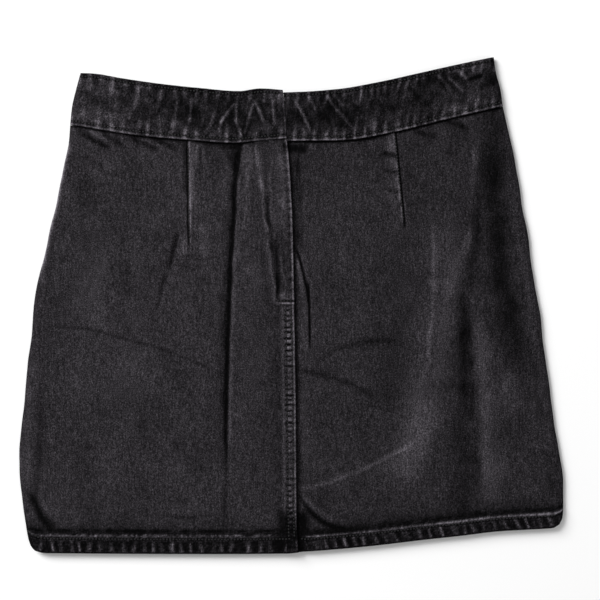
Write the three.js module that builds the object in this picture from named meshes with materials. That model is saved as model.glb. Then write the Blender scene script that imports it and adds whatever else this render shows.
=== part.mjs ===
// A short black denim skirt laid flat on the XY plane, back side up, in millimetres with +Z up.
// The waist is towards +Y and the hem towards -Y. The skirt is a flattened tube: the front panel and
// its waistband lie underneath on the ground, and the two back panels and their waistbands lie on top.
// Left and right are the viewer's, looking down on it. The left back panel laps over the right one
// along the centre back: over a zip above, and in a flat-felled seam below.
// The origin is on the ground, at the middle of the laid-out skirt.

import * as THREE from "three";

// Thicknesses of cloth and the gap kept between pieces that meet.
const CLOTH = 1;
const BAND_CLOTH = 2.2;
const HEM_CLOTH = 2.4;
const LAP_CLOTH = 1.8;
const SEAM_GAP = 0.3;

// Sewing sizes: the turned-up hem, the part of the right panel hidden under the left one,
// and how far a thick seam takes to thin out to a single layer.
const HEM_DEPTH = 13;
const UNDERLAP = 7.2;
const RAMP = 3;

// Heights of the top surface above the ground.
const PANEL_HEIGHT = 4.6;
const BAND_HEIGHT = 5.4;
const HEM_HEIGHT = 5.5;
const LOWEST_TOP = 2.6;
const BAND_RISE_AT_ZIP = 1.2;
const ZIP_RISE_REACH = 26;
const ZIP_RISE_START = 0.04;
const ZIP_RISE_END = 0.12;
const LAP_RISE = 1;
const UNDERLAP_DIP = LAP_CLOTH + SEAM_GAP - LAP_RISE;

// The folded sides: how far in from the outline the cloth has turned level.
const TURN = 6;
const TURN_ANGLES = [0, 30, 60, 90];

// The front waist dips this far below the back waist at its middle.
const FRONT_DROP = 8;

// The zip: a tape with a raised chain along it, from the waist to just below the lap.
const ZIP = {
  tapeWidth: 24,
  tape: 0.5,
  chainWidth: 4.4,
  chain: 1.2,
  chainFromEdge: 10.6,
  top: 178,
  bottom: -4,
  rows: 26,
  slope: 0.4,
  climbLength: 6,
};

// Black denim, its underside, and the zip's dyed tape.
const DENIM_COLOUR = 0x2b292c;
const UNDER_COLOUR = 0x242225;
const ZIP_COLOUR = 0x161617;
const CLOTH_ROUGHNESS = 0.92;

// Plan outlines, each a list of points from left to right.
const WAIST_LEFT = [
  { x: -183.6, y: 202.3 },
  { x: -170, y: 201.5 },
  { x: -149, y: 197.9 },
  { x: -114, y: 192.8 },
  { x: -80, y: 189.2 },
  { x: -45, y: 186.4 },
  { x: -27, y: 188.6 },
  { x: -7, y: 187.2 },
];
const WAIST_RIGHT = [
  { x: -7, y: 185.1 },
  { x: 7, y: 185.6 },
  { x: 42, y: 188.4 },
  { x: 77, y: 194.5 },
  { x: 112, y: 202.3 },
  { x: 147, y: 210.1 },
  { x: 176.4, y: 216.2 },
];
const BAND_SEAM_LEFT = [
  { x: -192.7, y: 157.5 },
  { x: -130, y: 147.7 },
  { x: -91, y: 144.2 },
  { x: -50, y: 141.6 },
  { x: -28, y: 143.4 },
  { x: -4, y: 145.4 },
];
const BAND_SEAM_RIGHT = [
  { x: -4, y: 143.1 },
  { x: 43, y: 143.7 },
  { x: 90, y: 151.1 },
  { x: 136, y: 162.4 },
  { x: 184.4, y: 173.7 },
];
const HEM_EDGE = [
  { x: -227, y: -209 },
  { x: -222.5, y: -213.4 },
  { x: -213, y: -215.4 },
  { x: -62, y: -216.2 },
  { x: -6, y: -215.8 },
  { x: 8, y: -214.5 },
  { x: 42, y: -211.8 },
  { x: 77, y: -208.4 },
  { x: 112, y: -204.2 },
  { x: 147, y: -200.4 },
  { x: 181, y: -196.4 },
  { x: 216, y: -194 },
  { x: 233.8, y: -191.6 },
];

// Where the waistband's seam crosses the two sides and the centre back.
const SEAM_ENDS = { left: -192.6, back: -4, right: 184.4 };

// Cross sections of the skirt, one row each, from the waistband's seam (down 0) to the hem (down 1).
// The columns are where the lines that run down the skirt cross that section: its two sides, the long fold,
// the near edge of the lap or seam, and the centre back edge.
const SECTIONS = [
  { down: 0, ...SEAM_ENDS, fold: -41.5, lap: -30.6 },
  { down: 0.04, left: -193.8, fold: -42.6, lap: -30, back: -2.3, right: 187.6 },
  { down: 0.1, left: -198.4, fold: -45, lap: -27.4, back: -0.8, right: 192.6 },
  { down: 0.2, left: -205.8, fold: -48.6, lap: -21.9, back: 1, right: 199.1 },
  { down: 0.35, left: -218.7, fold: -52.3, lap: -15.5, back: 2.2, right: 208.2 },
  { down: 0.39, left: -221.6, fold: -53, lap: -13.9, back: 2.5, right: 210.6 },
  { down: 0.404, left: -222.6, fold: -53.1, lap: -7.7, back: 2.5, right: 211.4 },
  { down: 0.5, left: -226.8, fold: -54, lap: -7.2, back: 3.2, right: 216.4 },
  { down: 0.65, left: -232.4, fold: -54.8, lap: -6.5, back: 3.9, right: 223.8 },
  { down: 0.81, left: -237, fold: -55.4, lap: -5.8, back: 4.3, right: 232.2 },
  { down: 0.9, left: -234, fold: -55.8, lap: -5.6, back: 4.6, right: 237 },
  { down: 0.96, left: -230.7, fold: -56, lap: -5, back: 5.2, right: 236.3 },
  { down: 1, left: -227, fold: -56, lap: -4, back: 6.4, right: 233.8 },
];
const BAND_SECTIONS = [
  { down: 0, left: -183.6, back: -7.3, right: 176.4 },
  { down: 0.33, left: -187.6, back: -5.6, right: 178.6 },
  { down: 0.66, left: -191, back: -4.5, right: 182.2 },
  { down: 1, ...SEAM_ENDS },
];

// The largest folds of the cloth: soft ridges (height above 0) and troughs (below 0) along a line from
// x0, y0 to x1, y1, whose middle is pushed aside by bow. The cloth falls away over the distance before on
// the left of the line and after on its right.
const FOLDS = [
  { x0: -41.5, y0: 146, x1: -55.5, y1: -150, bow: -4.5, before: 9, after: 4, height: -2 },
  { x0: -30, y0: 60, x1: -38, y1: -130, bow: 0, before: 16, after: 14, height: 0.5 },
  { x0: 10, y0: 44, x1: 14.8, y1: -38, bow: 1, before: 7, after: 3, height: 0.9 },
  { x0: 20, y0: 40, x1: 21, y1: -34, bow: 0, before: 4, after: 9, height: -0.5 },
  { x0: 118, y0: 92, x1: 116, y1: -84, bow: 7, before: 38, after: 26, height: 0.9 },
  { x0: 172, y0: 134, x1: 202, y1: -30, bow: -3, before: 12, after: 11, height: -1.7 },
  { x0: 146, y0: 14, x1: 158, y1: -172, bow: 3, before: 15, after: 7, height: -1.5 },
  { x0: 172, y0: -60, x1: 176, y1: -176, bow: 0, before: 9, after: 14, height: 0.6 },
  { x0: 8, y0: -164, x1: 124, y1: -117, bow: -4, before: 9, after: 9, height: 0.5 },
  { x0: -226, y0: -162, x1: -200, y1: -196, bow: -4, before: 6, after: 7, height: -0.9 },
  { x0: -176, y0: 88, x1: -170, y1: -20, bow: 0, before: 18, after: 20, height: -0.5 },
  { x0: -138, y0: 60, x1: -140, y1: -150, bow: 0, before: 26, after: 26, height: 0.5 },
];
const FOLD_END_SHARE = 0.22;

// The darts: straight from x top at the waistband's seam to x end at their tip, on the section down, and on
// to x hem as an unsewn line. The intake is pressed to one side of the line and lifts the cloth there.
const LEFT_DART = { top: -89.8, end: -88.5, down: 0.26, hem: -89.5, side: 1 };
const RIGHT_DART = { top: 90.1, end: 98.6, down: 0.24, hem: 110, side: -1 };
const DART_LIFT = 0.7;
const DART_INTAKE = 12;
const DART_TAPER = 0.33;

// Distances of the columns of faces from the lines that they follow.
const BESIDE_SIDE = 14;
const BESIDE_DART = [-0.8, 0.8];
const BESIDE_FOLD = [-8, -3, 0, 5];
const BESIDE_BACK = [-UNDERLAP, -3, 1, 5, 9, 13, 17, 24];
const UNDERLAP_SLOPE = { from: 1, to: 12 };

// Numbers of columns between those lines, and of rows from the waistband to the hem.
const COLUMNS = { leftSide: 6, leftMiddle: 2, rightMiddle: 5, rightSide: 8, front: 16 };
const ROWS = { back: 26, front: 12 };
const BAND_ROWS = [0, 0.2, 0.4, 0.6, 0.8, 1];

// Where the lap ends and the felled seam begins, and the length by which the hem's rows are worked out.
const LAP_END = [0.39, 0.404];
const PANEL_LENGTH = 360;

const mix = (a, b, t) => a + (b - a) * t;
const clamp = (t, low, high) => Math.min(high, Math.max(low, t));
const smooth = (t) => t * t * (3 - 2 * t);
const ease = (from, to, value) => smooth(clamp((value - from) / (to - from), 0, 1));

// A smooth curve through a table, with no overshoot: the value of one column where the key column is t.
const gentleSlope = (p, q) => (p * q > 0 ? (2 * p * q) / (p + q) : 0);
function through(table, key, column, t) {
  const last = table.length - 1;
  const next = table.findIndex((row) => row[key] > t);
  const k = next < 0 ? last - 1 : Math.max(next - 1, 0);
  const slope = (i) => (table[i + 1][column] - table[i][column]) / (table[i + 1][key] - table[i][key]);
  const here = slope(k);
  const slopeA = k > 0 ? gentleSlope(slope(k - 1), here) : here;
  const slopeB = k + 2 <= last ? gentleSlope(here, slope(k + 1)) : here;
  const span = table[k + 1][key] - table[k][key];
  const s = clamp((t - table[k][key]) / span, 0, 1);
  const bend = span * (s * (1 - s) ** 2 * slopeA - s ** 2 * (1 - s) * slopeB);
  return mix(table[k][column], table[k + 1][column], smooth(s)) + bend;
}

const line = (name) => (down) => through(SECTIONS, "down", name, down);
const dartLine = (dart) => (down) =>
  down < dart.down
    ? mix(dart.top, dart.end, down / dart.down)
    : mix(dart.end, dart.hem, (down - dart.down) / (1 - dart.down));
const bandLine = (name) => (down) => through(BAND_SECTIONS, "down", name, down);
const curve = (table) => (x) => through(table, "x", "y", x);

const waistLeft = curve(WAIST_LEFT);
const waistRight = curve(WAIST_RIGHT);
const seamLeft = curve(BAND_SEAM_LEFT);
const seamRight = curve(BAND_SEAM_RIGHT);
const hemEdge = curve(HEM_EDGE);

// The front's waist follows the back's smoothly past the centre back, and dips below it in the middle.
const JOIN_REACH = 24;
const frontDrop = (x) =>
  FRONT_DROP * Math.sin((Math.PI * (x - SEAM_ENDS.left)) / (SEAM_ENDS.right - SEAM_ENDS.left)) ** 2;
const joined = (leftCurve, rightCurve) => (x) =>
  mix(leftCurve(x), rightCurve(x), ease(-JOIN_REACH, JOIN_REACH, x)) - frontDrop(x);
const frontWaist = joined(waistLeft, waistRight);
const frontSeam = joined(seamLeft, seamRight);

// How high one fold lifts the cloth at a place. It fades in and out over the ends of its line.
function foldLift(fold, x, y) {
  const along = new THREE.Vector2(fold.x1 - fold.x0, fold.y1 - fold.y0);
  const length = along.length();
  along.divideScalar(length);
  const offset = new THREE.Vector2(x - fold.x0, y - fold.y0);
  const share = clamp(offset.dot(along) / length, 0, 1);
  const aside = along.x * offset.y - along.y * offset.x;
  const fromLine = aside - 4 * fold.bow * share * (1 - share);
  const fade = ease(0, FOLD_END_SHARE, share) * (1 - ease(1 - FOLD_END_SHARE, 1, share));
  const width = fromLine < 0 ? fold.before : fold.after;
  return fold.height * fade * Math.exp(-((fromLine / width) ** 2));
}

// How high a dart's intake lifts the cloth beside its line.
function dartLift(dart, x, down) {
  const left = 1 - clamp(down / dart.down, 0, 1);
  const inside = (x - dartLine(dart)(down)) * dart.side;
  if (inside < 0 || left === 0) return 0;
  return DART_LIFT * Math.min(1, left / DART_TAPER) * (1 - ease(0, DART_INTAKE * left, inside));
}

// How much higher the back lies over the zip's thick top.
const zipRise = (fromBack) => BAND_RISE_AT_ZIP * Math.exp(-((fromBack / ZIP_RISE_REACH) ** 2));

// The top surface of a back panel at a place, before the lap or the underlap is added.
function panelTop(x, y, down) {
  const lifts = FOLDS.map((fold) => foldLift(fold, x, y)).reduce((a, b) => a + b);
  const darts = dartLift(LEFT_DART, x, down) + dartLift(RIGHT_DART, x, down);
  const zipLift = zipRise(x - line("back")(down)) * (1 - ease(ZIP_RISE_START, ZIP_RISE_END, down));
  return Math.max(PANEL_HEIGHT + lifts + darts + zipLift, LOWEST_TOP);
}

// 1 on the turned-up hem and 0 above it, with a short ramp at the line of stitching.
function onHem(y, hemY) {
  return 1 - ease(HEM_DEPTH, HEM_DEPTH + RAMP, y - hemY);
}

// A closed wall of cloth from its outer and inner points, which share rows and columns.
function wall(outer, inner) {
  const rows = outer.length;
  const columns = outer[0].length;
  const positions = [...outer.flat(), ...inner.flat()].flatMap((p) => [p.x, p.y, p.z]);
  const index = [];
  const outerAt = (row, column) => row * columns + column;
  const innerAt = (row, column) => rows * columns + outerAt(row, column);
  const quad = (a, b, c, d) => index.push(a, b, c, a, c, d);
  for (let j = 0; j + 1 < rows; j++) {
    for (let i = 0; i + 1 < columns; i++) {
      quad(outerAt(j, i), outerAt(j + 1, i), outerAt(j + 1, i + 1), outerAt(j, i + 1));
      quad(innerAt(j, i), innerAt(j, i + 1), innerAt(j + 1, i + 1), innerAt(j + 1, i));
    }
  }
  const rim = [];
  for (let i = 0; i < columns; i++) rim.push([0, i]);
  for (let j = 1; j < rows; j++) rim.push([j, columns - 1]);
  for (let i = columns - 2; i >= 0; i--) rim.push([rows - 1, i]);
  for (let j = rows - 2; j > 0; j--) rim.push([j, 0]);
  rim.forEach(([j, i], k) => {
    const [nextJ, nextI] = rim[(k + 1) % rim.length];
    quad(outerAt(j, i), outerAt(nextJ, nextI), innerAt(nextJ, nextI), innerAt(j, i));
  });
  const geometry = new THREE.BufferGeometry();
  geometry.setAttribute("position", new THREE.Float32BufferAttribute(positions, 3));
  geometry.setIndex(faceOut(index, positions));
  geometry.computeVertexNormals();
  return geometry;
}

// Turns every triangle round if the mesh is inside out.
function faceOut(index, positions) {
  const corner = (k) => new THREE.Vector3().fromArray(positions, 3 * k);
  let volume = 0;
  for (let k = 0; k < index.length; k += 3) {
    volume += corner(index[k]).dot(corner(index[k + 1]).cross(corner(index[k + 2])));
  }
  if (volume > 0) return index;
  return index.map((_, k) => index[k + [0, 1, -1][k % 3]]);
}

// Columns of a wall, each a function of down that gives its place across the skirt. A column on a folded
// side also has a turn, the angle by which the cloth has come round from the seam on the outline.
const turned = (side, inward) =>
  TURN_ANGLES.map((angle) => ({
    turn: THREE.MathUtils.degToRad(angle),
    inward,
    x: (down) => side(down) + inward * TURN * (1 - Math.cos(THREE.MathUtils.degToRad(angle))),
  }));
const level = (x) => ({ turn: Math.PI / 2, inward: 0, x });
const spread = (from, to, count) =>
  Array.from({ length: count }, (_, k) => level((down) => mix(from(down), to(down), (k + 1) / (count + 1))));
const beside = (at, offsets) => offsets.map((offset) => level((down) => at(down) + offset));

// Places a section's outer and inner points. The cloth turns about the middle of the skirt's height on a
// folded side, and up is 1 for the back and -1 for the front.
function clothPoints(column, down, y, top, thickness, up, middle) {
  const x = column.x(down);
  const reach = Math.sin(column.turn);
  const halfGap = (SEAM_GAP / 2) * up * (1 - reach);
  const outer = new THREE.Vector3(x, y, mix(middle, top, reach) + halfGap);
  const inwardShift = column.inward * thickness * Math.cos(column.turn);
  const innerTop = top - up * thickness;
  const inner = new THREE.Vector3(x + inwardShift, y, mix(middle, innerTop, reach) + halfGap);
  return [outer, inner];
}

// Builds a panel's wall over its columns and rows. describe gives the top surface and thickness at a place.
function panelWall(columns, downs, topEdge, bottomEdge, up, middleAt, describe) {
  const outer = [];
  const inner = [];
  for (const down of downs) {
    const rowPoints = columns.map((column) => {
      const y = mix(topEdge(column.x(0)), bottomEdge(column.x(1)), down);
      const { top, thickness } = describe(column, down, y);
      return clothPoints(column, down, y, top, thickness, up, middleAt(column, down, y));
    });
    outer.push(rowPoints.map(([point]) => point));
    inner.push(rowPoints.map(([, point]) => point));
  }
  return wall(outer, inner);
}

// Rows down a panel: evenly spaced to the hem, any extra ones, then the hem's ramp and edge.
function panelRows(count, extra) {
  const stitched = 1 - HEM_DEPTH / PANEL_LENGTH;
  const above = stitched - RAMP / PANEL_LENGTH;
  const even = Array.from({ length: count }, (_, k) => (above * k) / (count - 1));
  return [...even, ...extra, stitched, 1].sort((a, b) => a - b);
}

// Halfway up the folded side, where the back and the front meet.
const panelMiddle = (column, down, y) =>
  mix(PANEL_HEIGHT, HEM_HEIGHT, onHem(y, hemEdge(column.x(1)))) / 2;

// The panels' top edges lie a gap below the waistband's lower edge.
const under = (seam) => (x) => seam(x) - SEAM_GAP;

function leftColumns() {
  const [left, fold, lap, back] = ["left", "fold", "lap", "back"].map(line);
  const dart = dartLine(LEFT_DART);
  return [
    ...turned(left, 1),
    ...beside(left, [BESIDE_SIDE]),
    ...spread((down) => left(down) + BESIDE_SIDE, dart, COLUMNS.leftSide),
    ...beside(dart, BESIDE_DART),
    ...spread(dart, (down) => fold(down) + BESIDE_FOLD[0], COLUMNS.leftMiddle),
    ...beside(fold, BESIDE_FOLD),
    ...beside(lap, [-RAMP, 0]),
    ...spread(lap, back, 1),
    level(back),
  ];
}

function rightColumns() {
  const [back, right] = ["back", "right"].map(line);
  const dart = dartLine(RIGHT_DART);
  return [
    ...beside(back, BESIDE_BACK),
    ...spread((down) => back(down) + BESIDE_BACK.at(-1), dart, COLUMNS.rightMiddle),
    ...beside(dart, BESIDE_DART),
    ...spread(dart, (down) => right(down) - BESIDE_SIDE, COLUMNS.rightSide),
    ...beside(right, [-BESIDE_SIDE]),
    ...turned(right, -1).reverse(),
  ];
}

function frontColumns() {
  const [left, right] = ["left", "right"].map(line);
  const [from, to] = [(down) => left(down) + BESIDE_SIDE, (down) => right(down) - BESIDE_SIDE];
  return [
    ...turned(left, 1),
    level(from),
    ...spread(from, to, COLUMNS.front),
    level(to),
    ...turned(right, -1).reverse(),
  ];
}

// The left back panel, with its lap and its half of the felled seam raised along the centre back.
function backPanelLeft() {
  const lap = line("lap");
  const describe = (column, down, y) => {
    const x = column.x(down);
    const hem = onHem(y, hemEdge(column.x(1)));
    const onLap = ease(lap(down) - RAMP, lap(down), x);
    const top = mix(panelTop(x, y, down), HEM_HEIGHT, hem) + LAP_RISE * onLap;
    return { top, thickness: mix(mix(CLOTH, HEM_CLOTH, hem), LAP_CLOTH, onLap) };
  };
  const rows = panelRows(ROWS.back, LAP_END);
  return panelWall(leftColumns(), rows, under(seamLeft), hemEdge, 1, panelMiddle, describe);
}

// The right back panel, which dips to pass under the left one.
function backPanelRight() {
  const back = line("back");
  const describe = (column, down, y) => {
    const x = column.x(down);
    const hem = onHem(y, hemEdge(column.x(1)));
    const near = 1 - ease(UNDERLAP_SLOPE.from, UNDERLAP_SLOPE.to, x - back(down));
    const top = mix(panelTop(x, y, down), HEM_HEIGHT, hem) - UNDERLAP_DIP * near;
    return { top, thickness: mix(CLOTH, HEM_CLOTH, hem * (1 - near)) };
  };
  const rows = panelRows(ROWS.back, LAP_END);
  return panelWall(rightColumns(), rows, under(seamRight), hemEdge, 1, panelMiddle, describe);
}

function frontPanel() {
  const describe = (column, down, y) => {
    const hem = onHem(y, hemEdge(column.x(1)));
    return { top: 0, thickness: mix(CLOTH, HEM_CLOTH, hem) };
  };
  const rows = panelRows(ROWS.front, []);
  return panelWall(frontColumns(), rows, under(frontSeam), hemEdge, -1, panelMiddle, describe);
}

// A waistband piece continues the columns of the panel below it, so that the two edges match along the seam.
function bandWall(panelColumns, start, end, waist, seam, up) {
  const [from, to] = [start(1), end(1)];
  const columns = panelColumns
    .filter((column) => column.x(0) >= from && column.x(0) <= to)
    .map((column) => {
      const share = (column.x(0) - from) / (to - from);
      return { ...column, x: (down) => mix(start(down), end(down), share) };
    });
  const middle = () => BAND_HEIGHT / 2;
  const describe = (column, down) => {
    const raised = BAND_HEIGHT + zipRise(column.x(down) - bandLine("back")(down));
    return { top: up > 0 ? raised : 0, thickness: BAND_CLOTH };
  };
  return panelWall(columns, BAND_ROWS, waist, seam, up, middle, describe);
}

const waistbandFront = () =>
  bandWall(frontColumns(), bandLine("left"), bandLine("right"), frontWaist, frontSeam, -1);
const waistbandLeft = () =>
  bandWall(leftColumns(), bandLine("left"), bandLine("back"), waistLeft, seamLeft, 1);

// The right half of the back waistband starts just past the end of the left one.
function waistbandRight() {
  const start = (down) => bandLine("back")(down) + 2 * SEAM_GAP;
  const columns = [level(() => start(1)), ...rightColumns()];
  return bandWall(columns, start, bandLine("right"), waistRight, seamRight, 1);
}

// The closed zip under the lap: its tape lies on the front, and climbs onto the front waistband.
function zip() {
  const { tapeWidth, tape, chainWidth, chain, chainFromEdge, top, bottom, rows, slope, climbLength } = ZIP;
  const half = tapeWidth / 2;
  const bead = chainWidth / 2;
  const across = [
    { x: -half, z: tape },
    { x: -bead - slope, z: tape },
    { x: -bead, z: chain },
    { x: bead, z: chain },
    { x: bead + slope, z: tape },
    { x: half, z: tape },
  ];
  const climbTop = frontSeam(0) - 2 * SEAM_GAP;
  const share = (from, to, y) => clamp((from - y) / (from - to), 0, 1);
  const centre = (y) => {
    const seam = seamLeft(SEAM_ENDS.back);
    const onBand = bandLine("back")(share(waistLeft(BAND_SECTIONS[0].back), seam, y));
    const onPanel = line("back")(share(seam, hemEdge(0), y));
    return (y > seam ? onBand : onPanel) - chainFromEdge;
  };
  const outer = [];
  const inner = [];
  for (let j = 0; j <= rows; j++) {
    const y = mix(top, bottom, j / rows);
    const ground = mix(CLOTH, BAND_CLOTH, ease(climbTop - climbLength, climbTop, y)) + SEAM_GAP;
    outer.push(across.map(({ x, z }) => new THREE.Vector3(centre(y) + x, y, ground + z)));
    inner.push(across.map(({ x }) => new THREE.Vector3(centre(y) + x, y, ground)));
  }
  return wall(outer, inner);
}

function piece(name, geometry, colour) {
  const material = new THREE.MeshStandardMaterial({ color: colour, roughness: CLOTH_ROUGHNESS, metalness: 0 });
  const mesh = new THREE.Mesh(geometry, material);
  mesh.name = name;
  return mesh;
}

const skirt = new THREE.Group();
skirt.name = "denim_skirt";
skirt.add(
  piece("front_panel", frontPanel(), UNDER_COLOUR),
  piece("back_panel_left", backPanelLeft(), DENIM_COLOUR),
  piece("back_panel_right", backPanelRight(), DENIM_COLOUR),
  piece("waistband_front", waistbandFront(), UNDER_COLOUR),
  piece("waistband_back_left", waistbandLeft(), DENIM_COLOUR),
  piece("waistband_back_right", waistbandRight(), DENIM_COLOUR),
  piece("zip", zip(), ZIP_COLOUR),
);

export default skirt;
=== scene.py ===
# %% [markdown]
# # A black denim skirt, laid flat
#
# This lesson dresses a short denim skirt that lies on the floor with its back up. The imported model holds
# its size and its pieces: two back panels, a front panel, a waistband in three parts and a zip. Every piece
# of cloth is made again here as a fine sheet, with its folds, its puckers along the seams, its stitching
# and its washed-out edges.

# %% Load the frame
import math

import bpy
import numpy as np
from mathutils import Matrix, Vector, noise


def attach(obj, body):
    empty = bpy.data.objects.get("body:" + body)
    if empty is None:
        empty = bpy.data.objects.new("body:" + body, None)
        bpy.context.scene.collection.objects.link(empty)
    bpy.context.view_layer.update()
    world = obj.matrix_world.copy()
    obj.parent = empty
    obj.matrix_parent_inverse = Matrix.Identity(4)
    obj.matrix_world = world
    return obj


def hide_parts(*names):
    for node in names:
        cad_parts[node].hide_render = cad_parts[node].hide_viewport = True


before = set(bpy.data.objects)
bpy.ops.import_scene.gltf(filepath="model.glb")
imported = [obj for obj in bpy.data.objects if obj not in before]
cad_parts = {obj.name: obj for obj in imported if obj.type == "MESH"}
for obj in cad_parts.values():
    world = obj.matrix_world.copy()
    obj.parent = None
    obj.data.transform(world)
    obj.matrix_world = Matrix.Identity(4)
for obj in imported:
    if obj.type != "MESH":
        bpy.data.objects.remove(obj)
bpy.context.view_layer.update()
print("CAD nodes:", sorted(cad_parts))

# %% [markdown]
# ## The pattern of the skirt
#
# A maker works from a paper pattern, and so does this scene. Each line of the pattern is a short table in
# millimetres, seen from above: the waist, the seam under the waistband, the hem, and the lines that run
# down the skirt. A smooth curve goes through each table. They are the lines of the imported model, so the
# fine cloth lies where the plain solids are, but for its unsteady sides, its rounder lower corner and the
# deeper hem on its left.

# %% Thicknesses, heights and sewing sizes
MM = 0.001
CLOTH, LAP_CLOTH, BAND_CLOTH, HEM_CLOTH = 1.0, 1.8, 2.2, 2.4
SEAM_GAP, UNDERLAP, RAMP = 0.3, 7.2, 3.0
HEM_DEPTH, HEM_STITCH, LEFT_HEM_DEEPER = 13.0, 10.7, 2.6
PANEL_HEIGHT, BAND_HEIGHT, HEM_HEIGHT, LOWEST_TOP = 4.6, 5.4, 5.5, 2.6
OVER_BAND = 0.85
LAP_RISE = 1.0
UNDERLAP_DIP = LAP_CLOTH + SEAM_GAP - LAP_RISE
ZIP_RISE, ZIP_REACH = 1.2, 26.0
SIDE_TURN, SIDE_GAP, SIDE_THINNING, THINNEST = 6.0, 0.5, 0.64, 0.9
FRONT_DROP = 8.0
PANEL_LENGTH = 360.0
# The folded sides waver by so much, over lengths of so much.
UNSTEADY, UNSTEADY_LENGTH = {"left": 1.1, "right": 1.3}, 21

# %% Lines of the pattern
WAIST_LEFT = ((-183.6, 202.3), (-170, 201.5), (-149, 197.9), (-114, 192.8), (-80, 189.2), (-45, 186.4),
              (-27, 188.6), (-7, 187.2))
WAIST_RIGHT = ((-7, 185.1), (7, 185.6), (42, 188.4), (77, 194.5), (112, 202.3), (147, 210.1), (176.4, 216.2))
SEAM_LEFT = ((-192.7, 157.5), (-130, 147.7), (-91, 144.2), (-50, 141.6), (-28, 143.4), (-4, 145.4))
SEAM_RIGHT = ((-4, 143.1), (43, 143.7), (90, 151.1), (136, 162.4), (184.4, 173.7))
HEM_EDGE = ((-227, -209), (-222.5, -213.4), (-213, -215.4), (-62, -216.2), (-6, -215.8), (8, -214.5),
            (42, -211.8), (77, -208.4), (112, -204.2), (147, -200.4), (181, -196.4), (216, -194.4),
            (227, -193.6), (233.8, -190.4))

# The lines that run down the skirt cross these shares of the way from the waistband's seam to the hem.
DOWN = (0, 0.04, 0.1, 0.2, 0.35, 0.39, 0.404, 0.5, 0.65, 0.81, 0.9, 0.96, 0.985, 1)
LINES = {
    "left": (-192.6, -193.8, -198.4, -205.8, -218.7, -221.6, -222.6, -226.8, -232.4, -237, -234,
             -230.7, -228.9, -227),
    "fold": (-41.5, -42.6, -45, -48.6, -52.3, -53, -53.1, -54, -54.8, -55.4, -55.8, -56, -56, -56),
    "lap": (-30.6, -30, -27.4, -21.9, -15.5, -13.9, -7.7, -7.2, -6.5, -5.8, -5.6, -5, -4.4, -4),
    "back": (-4, -2.3, -0.8, 1, 2.2, 2.5, 2.5, 3.2, 3.9, 4.3, 4.6, 5.2, 5.9, 6.4),
    "right": (184.4, 187.6, 192.6, 199.1, 208.2, 210.6, 211.4, 216.4, 223.8, 232.2, 236.9,
              237, 236.2, 233.8),
}
BAND_DOWN = (0, 0.33, 0.66, 1)
BAND_LINES = {
    "left": (-183.6, -187.6, -191, -192.6),
    "back": (-7.3, -5.6, -4.5, -4),
    "right": (176.4, 178.6, 182.2, 184.4),
}
# A dart runs straight from x top to x end at its tip, and its intake is pressed to one side.
DARTS = {
    "left": {"top": -89.8, "end": -88.5, "down": 0.26, "hem": -89.5, "side": 1},
    "right": {"top": 90.1, "end": 98.6, "down": 0.24, "hem": 110, "side": -1},
}


def smooth_line(at, values, t):
    """The smooth curve through values at the places at, without overshoot, for every t."""
    at, values = np.asarray(at, float), np.asarray(values, float)
    slopes = np.diff(values) / np.diff(at)
    before, after = slopes[:-1], slopes[1:]
    total = np.where(before + after == 0, 1, before + after)
    inner = np.where(before * after > 0, 2 * before * after / total, 0)
    ends = np.concatenate([slopes[:1], inner, slopes[-1:]])
    t = np.clip(t, at[0], at[-1])
    k = np.clip(np.searchsorted(at, t, side="right") - 1, 0, len(at) - 2)
    span = at[k + 1] - at[k]
    s = (t - at[k]) / span
    bend = span * (s * (1 - s) ** 2 * ends[k] - s ** 2 * (1 - s) * ends[k + 1])
    return values[k] + (values[k + 1] - values[k]) * s * s * (3 - 2 * s) + bend


def edge(points):
    """A pattern edge as a function from x to y."""
    across, along = zip(*points)
    return lambda x: smooth_line(across, along, x)


waist_left, waist_right = edge(WAIST_LEFT), edge(WAIST_RIGHT)
seam_left, seam_right, hem_edge = edge(SEAM_LEFT), edge(SEAM_RIGHT), edge(HEM_EDGE)


def line(name, down):
    """A line down the skirt. Its folded sides are a little unsteady, as cloth is."""
    unsteady = crinkle(PANEL_LENGTH * down, 0 * down, UNSTEADY_LENGTH, UNSTEADY.get(name, 0), 2.4)
    return smooth_line(DOWN, LINES[name], down) + unsteady * np.sin(np.pi * down)


def band_line(name, down):
    """A line down the waistband."""
    return smooth_line(BAND_DOWN, BAND_LINES[name], down)


def dart_line(name, down):
    """A dart's stitched line, carried on below its tip to the hem as a guide for the grid."""
    dart = DARTS[name]
    above = dart["top"] + (dart["end"] - dart["top"]) * down / dart["down"]
    below = dart["end"] + (dart["hem"] - dart["end"]) * (down - dart["down"]) / (1 - dart["down"])
    return np.where(down < dart["down"], above, below)


def ease(start, end, value):
    """0 before start, 1 after end, and smooth between them."""
    t = np.clip((value - start) / (end - start), 0, 1)
    return t * t * (3 - 2 * t)


def bell(value, width):
    """A bump: 1 where value is 0, and faded at so much on either side."""
    return np.exp(-(value / width) ** 2)


def front_drop(x):
    """The front's waist dips below the back's in the middle."""
    left, right = LINES["left"][0], LINES["right"][0]
    return FRONT_DROP * np.sin(np.pi * np.clip((x - left) / (right - left), 0, 1)) ** 2


def joined(left_edge, right_edge, reach=24):
    """One smooth front edge from the two edges of the back."""
    def at(x):
        share = ease(-reach, reach, x)
        return left_edge(x) * (1 - share) + right_edge(x) * share - front_drop(x)
    return at


front_waist, front_seam = joined(waist_left, waist_right), joined(seam_left, seam_right)
print("back length at the centre", float(waist_left(-7) - hem_edge(0)), "mm")

# %% [markdown]
# ## Camera, floor and light
#
# The photograph looks straight down on the skirt, on pure white. So the camera hangs above it with a long
# lens, the floor is almost white, and a soft lamp at the upper left throws the short shadows that show the
# waistband's step, the lap and the folds. The world's even light fills them again.

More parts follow.
